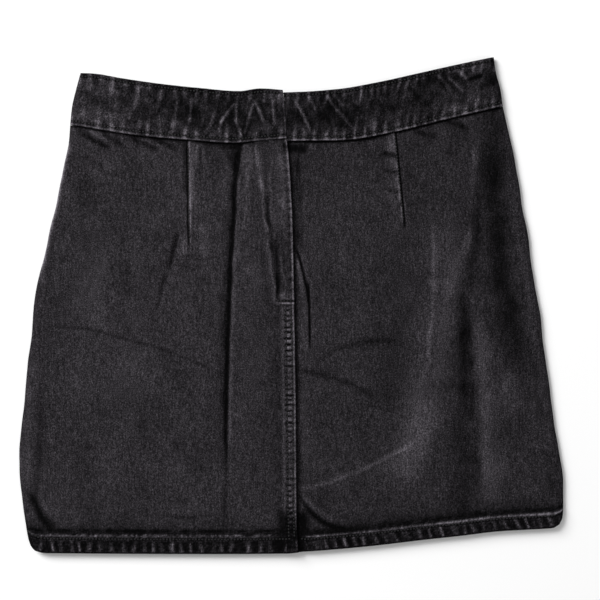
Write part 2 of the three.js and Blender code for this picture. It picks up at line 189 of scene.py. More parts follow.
# %% Camera
PIXEL = 0.87 * MM
PHOTO_WIDTH = 600 * PIXEL
# Where the skirt's origin lies in the photograph, in pixels from its upper left corner.
ORIGIN_X, ORIGIN_Y = 291.2, 305.5
PHOTO_CENTRE = ((300 - ORIGIN_X) * PIXEL, (ORIGIN_Y - 300) * PIXEL)
LENS, SENSOR = 85, 36
distance = PHOTO_WIDTH * LENS / SENSOR
bpy.ops.object.camera_add(location=(*PHOTO_CENTRE, distance + PANEL_HEIGHT * MM), rotation=(0, 0, 0))
camera = bpy.context.object
camera.data.lens, camera.data.sensor_width = LENS, SENSOR
bpy.context.scene.camera = camera
print("camera height", round(distance, 3), "m")

# %% Floor and lights
def set_inputs(node, **values):
    """Sets a node's inputs, whose names are written with _ for a space."""
    for name, value in values.items():
        node.inputs[name.replace("_", " ")].default_value = value
    return node


def new_material(name, **values):
    """A material, with its tree and its shader, whose inputs are set."""
    material = bpy.data.materials.new(name)
    material.use_nodes = True
    tree = material.node_tree
    return material, tree, set_inputs(tree.nodes["Principled BSDF"], **values)


bpy.ops.mesh.primitive_plane_add(size=14, location=(0, 0, 0))
floor = bpy.context.object
floor.name = "floor"
WHITE_PAPER = (0.93, 0.93, 0.93, 1)
paper = new_material("white_paper", Base_Color=WHITE_PAPER, Roughness=0.9, Specular_IOR_Level=0.1)[0]
floor.data.materials.append(paper)

scene = bpy.context.scene
scene.view_settings.view_transform = "Standard"
world = scene.world or bpy.data.worlds.new("studio")
scene.world = world
world.use_nodes = True
set_inputs(world.node_tree.nodes["Background"], Color=(1, 1, 1, 1), Strength=0.4)


def lamp(name, place, size, watts):
    """A square area lamp that points at the middle of the skirt."""
    bpy.ops.object.light_add(type="AREA", location=place)
    light = bpy.context.object
    light.name = name
    light.data.size, light.data.energy = size, watts
    light.rotation_euler = Vector(place).to_track_quat("Z", "Y").to_euler()
    return light


lamp("key", (-2.6, 2.2, 2.0), 2.2, 240)
lamp("fill", (1.6, -1.2, 1.8), 1.6, 5)

# %% [markdown]
# ## Washed black denim
#
# Denim is a twill: the dyed warp covers one face in fine slanting ribs, and the pale core of each yarn shows
# where the cloth has been rubbed. Seen from a step away that gives a dark grey with a salt-and-pepper grain,
# paler on rubbed ridges and edges and nearly black in the creases, where painted shade darkens the dye that
# stays there. The ribs follow the piece's own UV map, in metres along the cloth, and the grain takes the
# height as well. The rubbing and the painted light and shade follow one attribute, which comes from the folds
# and from the table of painted light and shade.

# %% Material helpers
def new_node(tree, kind, **settings):
    """A new shader node of a kind, such as Math, with its settings."""
    node = tree.nodes.new("ShaderNode" + kind)
    for name, value in settings.items():
        setattr(node, name, value)
    return node


def maths(tree, operation, first, second):
    """A Math node on two sockets or numbers."""
    node = new_node(tree, "Math", operation=operation)
    for socket, value in zip(node.inputs, (first, second)):
        if isinstance(value, (int, float)):
            socket.default_value = value
        else:
            tree.links.new(value, socket)
    return node.outputs[0]


def noise_layer(tree, place, scale, **values):
    """Noise on the cloth, stretched by the three scales."""
    mapping = set_inputs(new_node(tree, "Mapping"), Scale=scale)
    tree.links.new(place, mapping.inputs["Vector"])
    texture = set_inputs(new_node(tree, "TexNoise"), Scale=1.0, **values)
    tree.links.new(mapping.outputs[0], texture.inputs["Vector"])
    return texture.outputs["Fac"]


def surface(tree, shader, level, colours, height, strength, distance):
    """Colours a shader along level, by pairs of a place and a colour, and lets height roughen it."""
    ramp = new_node(tree, "ValToRGB")
    stops = ramp.color_ramp.elements
    for stop, (place, colour) in zip(stops, (colours[0], colours[-1])):
        stop.position, stop.color = place, (*colour, 1)
    for place, colour in colours[1:-1]:
        stops.new(place).color = (*colour, 1)
    tree.links.new(level, ramp.inputs["Fac"])
    tree.links.new(ramp.outputs["Color"], shader.inputs["Base Color"])
    bump = set_inputs(new_node(tree, "Bump"), Strength=strength, Distance=distance)
    tree.links.new(height, bump.inputs["Height"])
    tree.links.new(bump.outputs["Normal"], shader.inputs["Normal"])


# %% The denim
# How light the cloth is at each quarter of the way from a deep crease, darkened by painted shade, to a bare,
# rubbed ridge.
SHADES = (0.0009, 0.0045, 0.0174, 0.055, 0.148)
TINT = (1.06, 0.97, 1.10)
RIB_SLANT = math.radians(58)


def on_every_side(tree, cloth):
    """The place on the cloth with the height added, so that rims and rolled sides get no streaks."""
    solid = new_node(tree, "TexCoord").outputs["Object"]
    whole = new_node(tree, "CombineXYZ")
    for source, axes in ((cloth, "XY"), (solid, "Z")):
        parts = new_node(tree, "SeparateXYZ")
        tree.links.new(source, parts.inputs[0])
        for axis in axes:
            tree.links.new(parts.outputs[axis], whole.inputs[axis])
    return whole.outputs[0]


def denim():
    """Its grain, slubs and wash come from noise, and its ribs from slanting bands."""
    material, tree, shader = new_material("washed_black_denim", Roughness=0.9, Specular_IOR_Level=0.02,
                                          Sheen_Weight=0.01, Sheen_Roughness=0.5)
    cloth = new_node(tree, "UVMap", uv_map="UVMap").outputs["UV"]
    yarns = on_every_side(tree, cloth)
    # Rubbed wear together with the painted light and shade of folds, lap, darts and seams.
    wear_and_shade = new_node(tree, "Attribute", attribute_name="wear_and_shade").outputs["Fac"]
    grain = noise_layer(tree, yarns, (1150, 850, 1000), Detail=2.0, Roughness=0.8)
    slub = noise_layer(tree, yarns, (700, 110, 400), Detail=1.0, Roughness=0.5)
    wash = noise_layer(tree, yarns, (26, 18, 26), Detail=4.0, Roughness=0.65)
    level = maths(tree, "ADD", wear_and_shade, 0.5)
    for layer, strength in ((grain, 1.4), (slub, 0.32), (wash, 0.26)):
        change = maths(tree, "MULTIPLY", maths(tree, "SUBTRACT", layer, 0.5), strength)
        level = maths(tree, "ADD", level, change)
    twill = new_node(tree, "TexWave", wave_type="BANDS", bands_direction="X")
    turn = set_inputs(new_node(tree, "Mapping"), Rotation=(0, 0, RIB_SLANT), Scale=(480, 480, 1))
    tree.links.new(cloth, turn.inputs["Vector"])
    tree.links.new(turn.outputs[0], twill.inputs["Vector"])
    set_inputs(twill, Scale=1.0, Distortion=0.6, Detail=1.0)
    height = maths(tree, "ADD", maths(tree, "MULTIPLY", twill.outputs["Fac"], 0.5), grain)
    colours = [(k / (len(SHADES) - 1), [shade * tint for tint in TINT]) for k, shade in enumerate(SHADES)]
    surface(tree, shader, level, colours, height, 0.55, 0.00025)
    return material


def plain_cloth(name, colour, roughness, ribs):
    """Thread, or zip tape: one colour, broken by fine ribs along Object coordinates."""
    material, tree, shader = new_material(name, Roughness=roughness, Specular_IOR_Level=0.3,
                                          Sheen_Weight=0.05)
    place = new_node(tree, "TexCoord").outputs["Object"]
    rib = noise_layer(tree, place, ribs, Detail=2.0, Roughness=0.6)
    colours = [(0.3, [0.45 * c for c in colour]), (0.75, [1.5 * c for c in colour])]
    surface(tree, shader, rib, colours, rib, 0.4, 0.0002)
    return material


DENIM = denim()
THREAD = plain_cloth("black_thread", (0.004, 0.004, 0.0045), 0.6, (2200, 2200, 900))
TAPE = plain_cloth("woven_zip_tape", (0.012, 0.012, 0.013), 0.8, (1500, 400, 900))
print("materials:", DENIM.name, THREAD.name, TAPE.name)

# %% [markdown]
# ## Folds, creases and puckers
#
# Cloth that lies still keeps three kinds of relief. Broad folds are soft troughs and swells across a whole
# panel. Creases are narrow marks of wearing and packing, sharper on one side. Puckers are small ridges that
# stand square to a seam, because the thread is tighter than the cloth. Each is a sum of bell-shaped bumps,
# so one function serves for folds and creases, and another sets puckers along any seam.

# %% Folds and creases
# x0, y0, x1, y1: the line; bow: how far its middle is pushed aside; before, after: how far the cloth falls
# away on either side; height: up for a ridge, down for a trough.
FOLDS = (
    (-39, 215, -57, -170, -5, 6.5, 2.8, -1.5),
    (-30, 60, -38, -130, 0, 16, 14, 0.5),
    (118, 92, 116, -84, 7, 38, 26, 0.9),
    (172, 134, 202, -30, -3, 12, 11, -1.5),
    (150, 14, 160, -172, 5, 15, 7, -1.1),
    (172, -60, 176, -176, 0, 9, 14, 0.6),
    (8, -164, 124, -117, -4, 9, 9, 0.3),
    (-226, -162, -200, -196, -4, 4, 3.5, -0.8),
    (-176, 88, -170, -20, 0, 18, 20, -0.4),
    (-138, 60, -140, -150, 0, 26, 26, 0.4),
)
CREASES = (
    (-39, 215, -57, -160, -5, 2.2, 1.2, -1.0),
    (-41, 132, -50, 20, -4, 2.5, 2.2, 0.35),
    (-99, 66, -107, 30, 1, 2.3, 1.8, -0.36),
    (-110, 32, -119, -6, 1, 1.5, 1.5, -0.2),
    (-96, 52, -108, 16, 3, 4, 7, 0.2),
    (-74, 84, -69, -10, 1, 9, 8, 0.25),
    (-228, -15, -50, -66, 10, 1.5, 1.8, -0.11),
    (-66, -57, -40, -66, 1, 3, 4, -0.15),
    (-219, -70, -224, -172, 2, 2.4, 3, -0.22),
    (-209, 66, -211, 8, 1, 3, 4, -0.3),
    (-150, 74, -142, 20, 2, 6, 5, -0.2),
    (-186, 130, -160, 118, 1, 3, 3, -0.25),
    (-170, -96, -120, -112, 3, 3, 5, -0.12),
    (-110, -60, -92, -118, -2, 5, 5, 0.15),
    (3, 52, 12, -20, 2, 3, 2.4, 0.35),
    (3, 54, 16.5, -6, 2, 1.1, 1.2, -0.7),
    (14.5, 26, 15.6, -42, 1, 1.2, 1.2, -0.8),
    (-6, -163, 128, -104, -9, 1.7, 2.2, 0.22),
    (-6, -54, 80, -86, 6, 2.4, 2.4, -0.18),
    (14, -56, 106, -35, 13, 3, 3, -0.12),
    (126, 84, 106, -110, 8, 9, 2.4, 0.3),
    (164, 112, 151, 20, 5, 4, 4, -0.8),
    (153, 2, 156, -110, 3, 2.6, 2, -0.5),
    (6, -160, 56, -188, -8, 2.5, 2.5, 0.4),
    (6, -164, 54, -194, -9, 2.2, 1.6, -0.5),
    (38, -164, 62, -188, 2, 2.4, 3, -0.2),
    (188, 74, 204, -8, 3, 2.4, 4, -0.6),
    (200, 60, 212, -60, 2, 5, 4, 0.4),
    (206, -12, 222, -110, -2, 4, 4, -0.35),
    (60, 100, 66, 20, 2, 9, 9, 0.2),
    (44, -70, 90, -92, 3, 4, 5, 0.14),
    (190, -120, 214, -168, 3, 5, 4, 0.25),
)
# Painted light and shade of the folds, the lap, the darts and the waistband's step, with a few broad patches
# of the wash, in the same form: the last figure is how much paler or darker it is.
PAINTED_LIGHT_SHADE_AND_WASH = (
    (-38.5, 215, -56.5, -170, -5, 1.9, 1.0, -0.4),
    (-39, 190, -56, -150, -5, 6.5, 1.4, -0.12),
    (-78, 141, -38, 136, 0, 2, 2.4, -0.26),
    (-64, 142, -42, 108, 2, 4, 3.4, -0.2),
    (-57.5, -150, -58, -200, 0, 2.5, 2, -0.16),
    (-37, 142, -42, 56, 0, 2.4, 4, 0.14),
    (-30, 142, -24, 94, 0, 4, 2, 0.16),
    (-21, 104, -14, 40, -1, 2, 2, -0.24),
    (-13, 66, -11.6, 3, 0, 1.5, 1.7, -0.36),
    (-8, 62, -5, 6, 0, 5, 4, -0.1),
    (-8.5, 136, -6, 70, 0, 5.5, 4.5, 0.13),
    (-20, 128, -16, 40, 0, 1.4, 1.4, 0.16),
    (-14, 8, -3, 10, 0, 2, 3, 0.05),
    (2, 141.5, 88, 146, 2, 2.4, 2.4, -0.44),
    (-8, 138, 16, 136.4, 0, 3.6, 3, -0.5),
    (5, 137, 6, 112, 0, 3, 3, -0.14),
    (6, 134, 8, 40, 0, 4, 3.5, -0.15),
    (3, 54, 16.5, -6, 2, 0.9, 1.0, -0.42),
    (14.5, 26, 15.6, -42, 1, 0.9, 1.0, -0.42),
    (4, 48, 10, 8, 1, 2.4, 1.8, 0.1),
    (85, 156, 92, 74, 0, 4, 4, 0.14),
    (85, 156, 88, 130, 0, 4, 4, 0.12),
    (78, 134, 94, 130, 0, 1.8, 1.6, -0.34),
    (80, 119, 96, 115, 0, 1.7, 1.6, -0.32),
    (84, 101, 97, 98, 0, 1.5, 1.5, -0.2),
    (-85, 142, -85, 76, 0, 3, 3, 0.16),
    (-84, 118, -76, 116, 0, 1.5, 1.5, -0.16),
    (-83, 142, -81, 117, 0, 1.3, 1.5, 0.16),
    (-77, 142, -75, 119, 0, 1.3, 1.5, 0.12),
    (-80, 141, -78.5, 119, 0, 1.2, 1.2, -0.18),
    (-90, 98, -89, 66, 0, 1.0, 2.2, 0.16),
    (-93, 146, -91, 92, 0, 2.2, 1.4, -0.2),
    (-90, 68, -95, 42, 0, 3, 3, 0.18),
    (-79, 74, -75, 38, 0, 3, 4, 0.12),
    (-99, 66, -107, 30, 1, 1.9, 1.5, -0.16),
    (-110, 32, -119, -8, 1, 1.3, 1.3, -0.14),
    (121, 88, 117, -56, 4.6, 1.5, 1.5, 0.15),
    (141, 92, 96, -178, 9, 17, 12, 0.12),
    (120, -44, 90, -168, 4, 18, 15, 0.06),
    (128, -84, 84, -158, 3, 16, 13, 0.05),
    (164, 78, 134, 8, -2, 4, 5, 0.1),
    (158, 162, 163, 70, 0, 4, 5, 0.13),
    (182, 200, 210, -86, -15, 12, 9, -0.22),
    (167, 138, 158, 50, -3, 2, 9, -0.15),
    (165, 64, 152, 10, 1, 5, 4, -0.15),
    (148, 24, 150, -94, 2, 5, 4, -0.28),
    (150, -60, 152, -198, 0, 11, 8, -0.12),
    (161, -4, 168, -180, 2, 3, 12, 0.12),
    (187, -52, 194, -98, 0, 9, 9, 0.11),
    (172, -116, 177, -182, 0, 8, 11, 0.08),
    (-6, -54, 80, -86, 6, 2.4, 2.6, -0.13),
    (14, -56, 106, -35, 13, 3.2, 3.2, -0.1),
    (88, -14, 84, -96, 4, 15, 13, -0.07),
    (-6, -163, 128, -104, -9, 1.4, 1.6, 0.12),
    (6, -164, 54, -194, -9, 2.6, 1.8, -0.26),
    (9, -176, 13, -218, 0, 6, 5, -0.5),
    (-5, -174, -3, -214, 0, 6, 6, -0.5),
    (-228, -15, -50, -66, 10, 1.4, 1.4, -0.1),
    (-118, -181, -76, -186, 0, 2.4, 2, -0.14),
    (-114, -166, -82, -171, 0, 2.4, 2, -0.08),
    (-229, -158, -204, -201, -3, 3.2, 2, -0.36),
    (-216, -40, -224, -176, 2, 2.8, 2.8, -0.09),
    (-226, -50, -231, -170, 0, 3, 3, 0.08),
    (-170, 56, -166, -36, 0, 13, 12, 0.07),
    (-181, 116, -178, 80, 0, 9, 9, -0.1),
    (-186, 152, -156, 136, -1, 1.6, 2.4, -0.34),
    (-168, 151, -142, 136, 0, 1.5, 2.6, -0.3),
    (-142, 147, -114, 134, 0, 1.6, 3, -0.3),
    (-122, 146, -98, 134, 0, 1.5, 2.4, -0.28),
    (-178, 153, -152, 141, 0, 1.6, 1.6, 0.17),
    (-134, 146, -108, 136, 0, 1.5, 1.5, 0.16),
    (104, 152, 128, 146, 0, 2.0, 2.2, -0.26),
    (130, 162, 156, 154, 0, 1.8, 2.2, -0.24),
    (-147, 44, -143, 2, 0, 7, 7, -0.08),
    (-160, -40, -110, -66, 0, 16, 16, 0.06),
    (-110, -120, -70, -140, 0, 12, 12, -0.05),
    (34, 120, 60, 10, 6, 22, 22, 0.05),
    (-14, -202.6, 68, -195.2, 0, 2.4, 2.4, -0.5),
)
# Each line fades in and out over this share of its length.
FOLD_END_SHARE = 0.22


def crease(row, x, y):
    """The height that one line of a table adds."""
    x0, y0, x1, y1, bow, before, after, height = row
    length = math.hypot(x1 - x0, y1 - y0)
    along_x, along_y = (x1 - x0) / length, (y1 - y0) / length
    share = np.clip(((x - x0) * along_x + (y - y0) * along_y) / length, 0, 1)
    aside = along_x * (y - y0) - along_y * (x - x0) - 4 * bow * share * (1 - share)
    fade = ease(0, FOLD_END_SHARE, share) * (1 - ease(1 - FOLD_END_SHARE, 1, share))
    return height * fade * bell(aside, np.where(aside < 0, before, after))


def crinkle(x, y, wavelength, height, seed):
    """A faint unevenness of the whole cloth."""
    flat = [noise.noise(Vector((a / wavelength, b / wavelength, seed))) for a, b in zip(x.flat, y.flat)]
    return height * np.asarray(flat).reshape(x.shape)


def creases(table, x, y):
    """All the lines of a table, a little wavy and uneven, as cloth is."""
    wavy_x, wavy_y = x + crinkle(x, y, 24, 0.9, 4.4), y + crinkle(x, y, 24, 1.6, 6.6)
    strength = 0.95 + crinkle(x, y, 17, 0.4, 9.9)
    return strength * sum(crease(row, wavy_x, wavy_y) for row in table)


# %% Puckers and darts
def puckers(along, away, span, spacing, height, reach, lean, seed, narrow=0.2):
    """Uneven ridges that run away from a seam, at places along it between the two ends of the span.

    They lean by so much for each mm away, and each is about narrow times as wide as they are spaced.
    """
    rng = np.random.default_rng(seed)
    total = np.zeros_like(along)
    at = span[0]
    while at < span[1]:
        size = height * rng.uniform(0.45, 1.25)
        width = spacing * rng.uniform(narrow, 1.7 * narrow)
        length = reach * rng.uniform(0.6, 1.3)
        tilt = lean + rng.normal(0, 0.12)
        total += size * bell(along - at - tilt * away, width) * bell(away, length)
        at += spacing * rng.uniform(0.75, 1.3)
    return total


# How high a dart's intake stands, how wide it starts, and the share of its length over which it runs out.
DART_LIFT, DART_INTAKE, DART_TAPER = 0.7, 12, 0.33


def dart_lift(name, x, down):
    """The pressed intake lifts the cloth beside the dart, and the stitched line itself sinks in."""
    dart = DARTS[name]
    left = np.clip(1 - down / dart["down"], 0, 1)
    inside = (x - dart_line(name, down)) * dart["side"]
    across = inside / np.maximum(DART_INTAKE * left, 0.01)
    rise = DART_LIFT * np.minimum(1, left / DART_TAPER) * (1 - ease(0, 1, across))
    groove = 0.8 * ease(0, 0.06, left) * bell(inside + 0.6, 0.8)
    return np.where(inside >= 0, rise, 0) - groove


def dart_shade(name, x, down):
    """Painted shade in the dart's stitched groove, with a pale edge beside it, partly rubbed and partly a
    painted highlight where the pressed intake faces the lamp.
    """
    dart = DARTS[name]
    shown = ease(0, 0.08, np.clip(1 - down / dart["down"], 0, 1))
    inside = (x - dart_line(name, down)) * dart["side"]
    # The pale edge: rubbed cloth and a painted highlight together.
    rubbed = np.clip(0.15 + crinkle(0 * x, PANEL_LENGTH * down + 0 * x, 6.5, 0.6, 12.1), -0.05, 0.32)
    return shown * (rubbed * bell(inside - 1.0, 0.75) - 0.34 * bell(inside + 0.5, 0.8))


def zip_rise(from_back):
    """The zip under the lap lifts the cloth beside the centre back."""
    return ZIP_RISE * bell(from_back, ZIP_REACH)


def panel_top(x, y, down):
    """The back's top surface with all its folds, before the lap and the hem."""
    top = PANEL_HEIGHT + creases(FOLDS, x, y) + creases(CREASES, x, y)
    top += dart_lift("left", x, down) + dart_lift("right", x, down)
    top += zip_rise(x - line("back", down)) * (1 - ease(0.04, 0.12, down))
    top = top + crinkle(x, y, 17, 0.16, 3.1) + crinkle(x, y, 46, 0.4, 7.7)
    return top + crinkle(x, y, 6.5, 0.06, 1.3)


def clear_of_front(top, x, y):
    """Keeps the folds above the front panel, and above the front's waistband higher up."""
    return np.maximum(top, LOWEST_TOP + OVER_BAND * ease(-3, 1, y - front_seam(x)))


print("folds:", len(FOLDS), "creases:", len(CREASES))

# %% [markdown]
# ## From a flat grid to a piece of cloth
#
# A piece of cloth is a flat sheet that has been bent, so each one starts as a grid, whose crossings are then
# moved to their places. Solidify gives it the thickness of the cloth, more where it is turned up or doubled,
# and a bevel rounds the cut and folded edges. Ropes and puckers are added to the thickness, so the
# underside stays smooth. The attribute of wear and painted shade is worked out from the shape: what stands
# above its surroundings has been rubbed pale, and what lies below is darker, partly the dye that stays
# there and partly painted shade. The painted light and shade of the table above is added to it.

# %% The sheet maker
SHARP = math.radians(50)
BEVEL_SHARE = 0.36


def spread(guides, counts):
    """Columns of a grid: counts[k] cells between one guide line and the next, for every row."""
    columns = [guides[0]]
    for a, b, count in zip(guides, guides[1:], counts):
        columns.append(a + (b - a) * np.arange(1, count + 1) / count)
    return np.hstack(columns)


def blurred(height, reach):
    """The surface smoothed over so many cells."""
    weights = np.exp(-(np.arange(-3 * reach, 3 * reach + 1) / reach) ** 2 / 2)
    weights /= weights.sum()
    padded = np.pad(height, 3 * reach, mode="edge")
    for axis in (0, 1):
        padded = np.apply_along_axis(np.convolve, axis, padded, weights, mode="valid")
    return padded


def worn_and_shaded(height, rub, hollow, extra=0.0, reach=2, speckle=0.0):
    """The wear and painted shade: pale where the cloth stands proud and is rubbed, and dark where it lies
    low, partly dye kept in the hollows and partly painted shade, by so much for each millimetre.

    Extra is added to it, and so are random specks of the strength in speckle.
    """
    fine = height - blurred(height, reach)
    specks = speckle * np.random.default_rng(height.size).standard_normal(height.shape)
    return np.clip(np.where(fine > 0, rub, hollow) * fine + extra + specks, -0.5, 0.55)


def sheet(name, replaced, x, y, z, wear_and_shade, thickness, face_down=False):
    """Moves a grid's crossings to the places in the arrays, in mm, and makes cloth of that thickness.

    It stands for the solid called replaced. Returns the cloth and its area.
    """
    rows, columns = x.shape
    bpy.ops.mesh.primitive_grid_add(x_subdivisions=columns - 1, y_subdivisions=rows - 1, size=2)
    piece = bpy.context.object
    piece.name = piece.data.name = name
    mesh = piece.data
    places = np.empty(3 * len(mesh.vertices))
    mesh.vertices.foreach_get("co", places)
    places = places.reshape(-1, 3)
    i = np.rint((places[:, 0] + 1) / 2 * (columns - 1)).astype(int)
    j = np.rint((1 - places[:, 1]) / 2 * (rows - 1)).astype(int)
    moved = np.column_stack([x[j, i], y[j, i], z[j, i]]) * MM
    mesh.vertices.foreach_set("co", moved.ravel())
    # The rubbed wear and the painted light and shade go onto the points as one attribute.
    mesh.attributes.new("wear_and_shade", "FLOAT", "POINT").data.foreach_set("value", wear_and_shade[j, i])
    corner = np.empty(len(mesh.loops), int)
    mesh.loops.foreach_get("vertex_index", corner)
    mesh.uv_layers["UVMap"].data.foreach_set("uv", moved[corner, :2].ravel())
    thickest = thickness.max()
    group = piece.vertex_groups.new(name="thickness")
    shares = (thickness[j, i] / thickest).round(2)
    for share in np.unique(shares):
        group.add(np.flatnonzero(shares == share).tolist(), float(share), "REPLACE")
    mesh.update()
    if face_down:
        mesh.flip_normals()
    wall = piece.modifiers.new("wall", "SOLIDIFY")
    wall.thickness, wall.offset, wall.vertex_group = thickest * MM, -1, group.name
    bpy.ops.object.modifier_apply(modifier=wall.name)
    round_edges(thickness)
    bpy.ops.object.shade_smooth()
    mesh.materials.append(DENIM)
    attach(piece, "root")
    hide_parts(replaced)
    area = cloth_area(x, y, z)
    print(name, x.shape, round(area, 4), "m2")
    return piece, area


def round_edges(thickness):
    """Bevels the sharp rims of a wall, all by one width: a share of its thinnest cloth."""
    bpy.ops.object.mode_set(mode="EDIT")
    bpy.ops.mesh.select_mode(type="EDGE")
    bpy.ops.mesh.select_all(action="DESELECT")
    bpy.ops.mesh.edges_select_sharp(sharpness=SHARP)
    width = BEVEL_SHARE * thickness.min() * MM
    bpy.ops.mesh.bevel(offset=width, segments=3, affect="EDGES", clamp_overlap=True)
    bpy.ops.object.mode_set(mode="OBJECT")


def cloth_area(x, y, z):
    """The area of the sheet in square metres."""
    places = np.stack([x, y, z], axis=-1) * MM
    across, down = places[:-1, 1:] - places[:-1, :-1], places[1:, :-1] - places[:-1, :-1]
    return float(np.linalg.norm(np.cross(across, down), axis=-1).sum())


# %% [markdown]
# ## The two back panels
#
# The left panel laps over the right one along the centre back: wide over the zip, then as narrow as the
# felled seam. Its rows run from the waistband's seam to the hem, closer together in the hem. Its columns
# follow the side, the dart, the long fold, the lap's inner edge and the centre back edge, so that none of
# these lines is cut across by the grid. At the side the cloth rolls over and down to meet the front.

# %% Rows, sides and hems
HEM_TOP = 1 - HEM_DEPTH / PANEL_LENGTH


def rows_down(*stretches):
    """A column of shares of the way down. Each stretch has its end and its row height in mm."""
    rows, at = [0.0], 0.0
    for end, height in stretches:
        count = round((end - at) * PANEL_LENGTH / height)
        rows.extend(at + (end - at) * np.arange(1, count + 1) / count)
        at = end
    return np.array(rows)[:, None]


# Shares of the way down where the zip's facing ends, the bar begins and ends, and the felled seam begins.
FACING_END, BAR_TOP, BAR_FOOT, FELLED_TOP = 0.385, 0.394, 0.402, 0.415
UNDER_BAND = 0.012
LEFT_DOWN = rows_down((UNDER_BAND, 0.8), (FACING_END, 2.1), (FELLED_TOP, 0.72), (HEM_TOP, 1.1), (1, 0.95))
RIGHT_DOWN = rows_down((UNDER_BAND, 0.8), (HEM_TOP, 2.0), (1, 0.93))
FRONT_DOWN = rows_down((HEM_TOP, 3.2), (1, 1.8))
TURN_STEPS = 8
turn_angles = np.linspace(0, math.pi / 2, TURN_STEPS + 1)[:-1]
# The ends of the puckers along the hem and along the waistband, in x.
HEM_SPAN, BAND_SPAN = (-236, 236), (-192, 186)
# The pale lip and the dark line at the top of the hem, above its edge.
HEM_LIP, HEM_SHADOW = 13.9, 17.3


def with_side(x, side, inward):
    """Adds the columns that roll over at a folded side. Returns all columns and their angles."""
    rolled = side + inward * SIDE_TURN * (1 - np.cos(turn_angles))
    flat = np.full(x.shape[1], math.pi / 2)
    if inward > 0:
        return np.hstack([rolled, x]), np.concatenate([turn_angles, flat])
    return np.hstack([x, rolled[:, ::-1]]), np.concatenate([flat, turn_angles[::-1]])


def with_both_sides(left, right, count):
    """The columns of a piece that rolls over at both sides, and their angles."""
    x, left_angles = with_side(spread([left + SIDE_TURN, right - SIDE_TURN], [count]), left, 1)
    x, right_angles = with_side(x, right, -1)
    return x, np.concatenate([left_angles, right_angles[len(left_angles):]])


def rows_of(x, down, top_edge, bottom_edge, gap=0):
    """The y of every crossing, from a gap under the edge above each column to the edge below it."""
    top, bottom = top_edge(x[0]) - gap, bottom_edge(x[-1])
    return top[None, :] + (bottom - top)[None, :] * down


def deeper(x):
    """How much deeper the hem is turned up left of the lap."""
    return LEFT_HEM_DEEPER * ease(14, 2, x)


def hem_stitch(x):
    """How far the hem's stitched line lies above its edge."""
    return HEM_STITCH + 0.8 * deeper(x)


def hem_seam(x):
    """The stitched line above the hem's edge."""
    return hem_edge(x) + hem_stitch(x)


def above_hem(x, y):
    """How far every crossing lies above the hem's edge."""
    return y - hem_edge(x[-1])[None, :]


def on_hem(x, y):
    """1 on the hem, 0 on the cloth above it, and smooth over the step."""
    return 1 - ease(0, RAMP, above_hem(x, y) - HEM_DEPTH - deeper(x))


def halfway(hem):
    """Half the height of the skirt, where back and front meet at the sides."""
    return (PANEL_HEIGHT * (1 - hem) + HEM_HEIGHT * hem) / 2


def roll_down(top, angles, middle, facing=1):
    """Brings the cloth down to the seam at the side, halfway between back and front."""
    rolled = np.sin(angles)[None, :]
    return middle + (top - middle) * rolled + facing * SIDE_GAP / 2 * (1 - rolled)


def wall_of(cloth, relief, angles):
    """The thickness. Relief thickens the cloth, so its underside stays smooth, and its sides are thinner."""
    return np.maximum(cloth + relief, THINNEST) * (1 - SIDE_THINNING * (1 - np.sin(angles)[None, :]))


def hem_relief(x, y, seed, lean):
    """Roping: the turned-up hem twists, and leaves narrow ridges between its stitching and its edge."""
    above = above_hem(x, y)
    rope = puckers(x, above - 4, HEM_SPAN, 8.7, 0.52, 9, lean, seed, narrow=0.15)
    rope += puckers(x, above - 6, HEM_SPAN, 13, 0.3, 5, lean, seed + 1, narrow=0.16) - 0.3
    inside = ease(0.4, 2.6, above) * (1 - ease(10, 12, above))
    groove = -0.35 * bell(above - hem_stitch(x), 0.9)
    shoulder = 0.12 * bell(above - 14.2 - deeper(x), 0.9)
    ticks = puckers(x, np.abs(above - 15 - deeper(x)), HEM_SPAN, 4.4, 0.22, 2.4, lean, seed + 2)
    return rope * inside + groove + shoulder + ticks * (above > 8) - 0.4 * bell(above, 1.2)


def hem_shade(x, y, hem):
    """Darker over the hem and between its ridges, partly deeper dye and partly painted shade, pale along the
    step at its top, with a painted shadow line above the step and a darker lower edge.
    """
    above = above_hem(x, y)
    rise = above - deeper(x)
    dotted = np.clip(0.55 + crinkle(x, 0 * y, 2.4, 2.0, 3.3), 0, 1.2)
    patchy = np.clip(0.8 + crinkle(x, 0 * y, 8, 1.8, 7.7), 0.2, 1.4)
    pricked = np.clip(0.35 + crinkle(x, 0 * y, 2.3, 2.2, 5.9), 0, 1)
    step = (0.38 * dotted - 0.46) * bell(rise - HEM_LIP, 0.95)
    stitched = 0.24 * bell(above - hem_stitch(x), 0.7) * pricked
    shadow = (0.18 + 0.046 * deeper(x)) * bell(rise - HEM_SHADOW, 1.4) * patchy
    shadow = shadow + 0.07 * bell(rise - 18, 9)
    return step + stitched - 0.27 * hem - 0.12 * bell(above, 1.2) - shadow * (rise > 14)


def seam_relief(x, y, seam, seed):
    """Under the waistband the cloth dips out of sight, with small puckers running down from the seam."""
    below = seam(x[0])[None, :] - y
    small = puckers(x, below, BAND_SPAN, 9, 0.5, 9, 0.6, seed, narrow=0.13)
    wide = puckers(x, below, BAND_SPAN, 27, 0.8, 16, 0.4, seed + 1, narrow=0.16)
    return (small + wide - 0.15) * ease(0.5, 5, below) - 0.85 * bell(below, 2.2)


def seam_shade(x, y, seam):
    """Painted shadow under the waistband: a dark line close under it and a wider, uneven one below."""
    below = seam(x[0])[None, :] - y
    uneven = 0.8 + crinkle(x, 0 * y, 13, 0.8, 5.1)
    return -0.12 * bell(below, 1.6) - 0.14 * bell(below, 6) * uneven


def right_shade(x):
    """The right panel is a little darker than the left one."""
    return -0.04 * ease(-20, 60, x)


